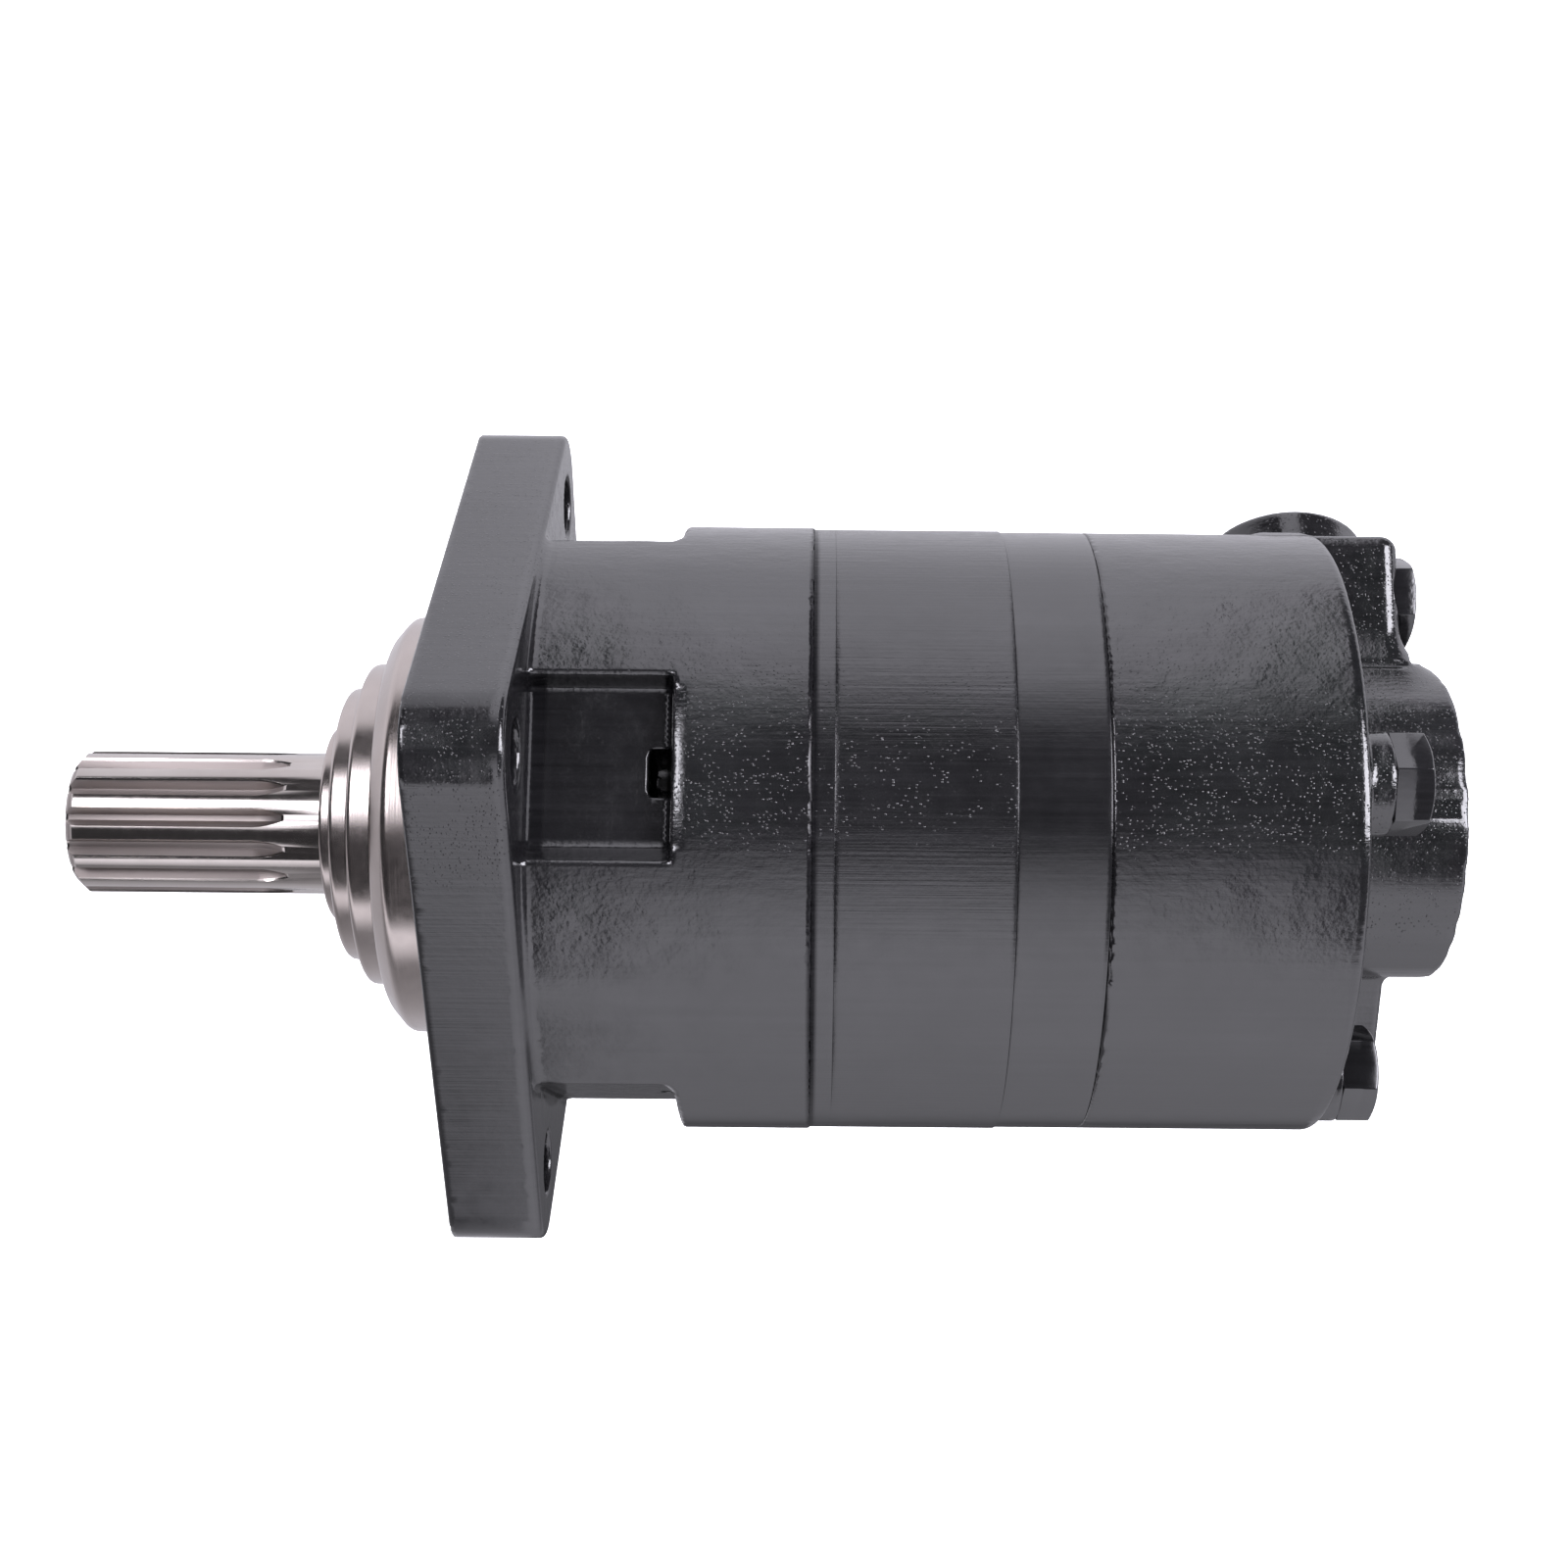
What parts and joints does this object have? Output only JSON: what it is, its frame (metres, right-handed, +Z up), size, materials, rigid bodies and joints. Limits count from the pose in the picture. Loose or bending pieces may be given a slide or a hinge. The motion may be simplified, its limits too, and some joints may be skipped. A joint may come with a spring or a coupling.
{
  "type": "hydraulic motor",
  "caption": "Low-speed high-torque hydraulic motor with a splined output shaft, stepped pilot nose, square mounting flange, round bolted body and radial ports.",
  "frame": {"origin": "centre of the flange's front mounting face, on the shaft axis", "axes": "+X along the shaft axis from the output shaft towards the port end, +Z up; the flange flats are parallel to Y and Z and the ports face +Y"},
  "size_m": [0.2986, 0.1427, 0.1352],
  "materials": {
    "black_paint_cast": "semi-gloss black paint on cast iron",
    "black_paint_machined": "semi-gloss black paint on machined steel",
    "black_bolt": "semi-gloss black",
    "turned_steel": "fine turned",
    "shaft_steel": "ground and hobbed",
    "machined_steel": "machined",
    "bearing_steel": "ground bright",
    "cage_steel": "pressed",
    "plated_steel": "zinc plated",
    "rubber": "matt"
  },
  "bodies": {
    "housing": {"bearing_housing": "black_paint_cast", "pilot_nose": "turned_steel", "dust_seal": "rubber", "shaft_seal": "rubber", "seal_washer": "machined_steel", "front_bearing_cup": "bearing_steel", "rear_bearing_cup": "bearing_steel", "wear_plate": "black_paint_machined", "gerotor_ring": "black_paint_machined", "gerotor_rollers": "bearing_steel", "valve_plate": "black_paint_machined", "valve_housing": "black_paint_cast", "balance_ring": "machined_steel", "balance_springs": "machined_steel", "balance_pins": "machined_steel", "body_seals": "rubber", "case_bolts": "black_bolt", "drain_plug": "plated_steel", "drain_seal": "rubber"},
    "shaft": {"output_shaft": "shaft_steel", "front_bearing_cone": "bearing_steel", "rear_bearing_cone": "bearing_steel", "bearing_spacer": "machined_steel", "bearing_nut": "machined_steel"},
    "front_cage": {"front_bearing_rollers": "bearing_steel", "front_bearing_cage": "cage_steel"},
    "rear_cage": {"rear_bearing_rollers": "bearing_steel", "rear_bearing_cage": "cage_steel"},
    "orbit": {"drive_spacer": "machined_steel"},
    "rotor": {"gerotor_rotor": "machined_steel"},
    "main_link": {"main_drive_link": "machined_steel"},
    "valve_link": {"valve_drive_link": "machined_steel"},
    "valve_disc": {"disc_valve": "machined_steel"}
  },
  "joints": [
    {"name": "shaft_spin", "type": "hinge", "parent": "housing", "child": "shaft", "pos_m": [0, 0, 0], "axis": [1, 0, 0], "continuous": true},
    {"name": "front_cage_spin", "type": "hinge", "parent": "housing", "child": "front_cage", "pos_m": [0.018, 0, 0], "axis": [1, 0, 0], "continuous": true},
    {"name": "rear_cage_spin", "type": "hinge", "parent": "housing", "child": "rear_cage", "pos_m": [0.056, 0, 0], "axis": [1, 0, 0], "continuous": true},
    {"name": "orbit_spin", "type": "hinge", "parent": "housing", "child": "orbit", "pos_m": [0.1, 0, 0], "axis": [1, 0, 0], "continuous": true},
    {"name": "rotor_spin", "type": "hinge", "parent": "orbit", "child": "rotor", "pos_m": [0.0982, 0.0032, 0], "axis": [1, 0, 0], "continuous": true},
    {"name": "main_link_spin", "type": "hinge", "parent": "orbit", "child": "main_link", "pos_m": [0.03, 0, 0], "axis": [0.9986, 0.0528, 0], "continuous": true},
    {"name": "valve_link_spin", "type": "hinge", "parent": "orbit", "child": "valve_link", "pos_m": [0.1085, 0.0032, 0], "axis": [0.9974, -0.0725, 0], "continuous": true},
    {"name": "valve_disc_spin", "type": "hinge", "parent": "housing", "child": "valve_disc", "pos_m": [0.145, 0, 0], "axis": [1, 0, 0], "continuous": true}
  ],
  "couplings": [
    {"joint": "front_cage_spin", "follows": "shaft_spin", "ratio": 0.4404},
    {"joint": "rear_cage_spin", "follows": "shaft_spin", "ratio": 0.4404},
    {"joint": "orbit_spin", "follows": "shaft_spin", "ratio": -6},
    {"joint": "rotor_spin", "follows": "shaft_spin", "ratio": 7},
    {"joint": "main_link_spin", "follows": "shaft_spin", "ratio": 7},
    {"joint": "valve_link_spin", "follows": "shaft_spin", "ratio": 7},
    {"joint": "valve_disc_spin", "follows": "shaft_spin", "ratio": 1}
  ]
}
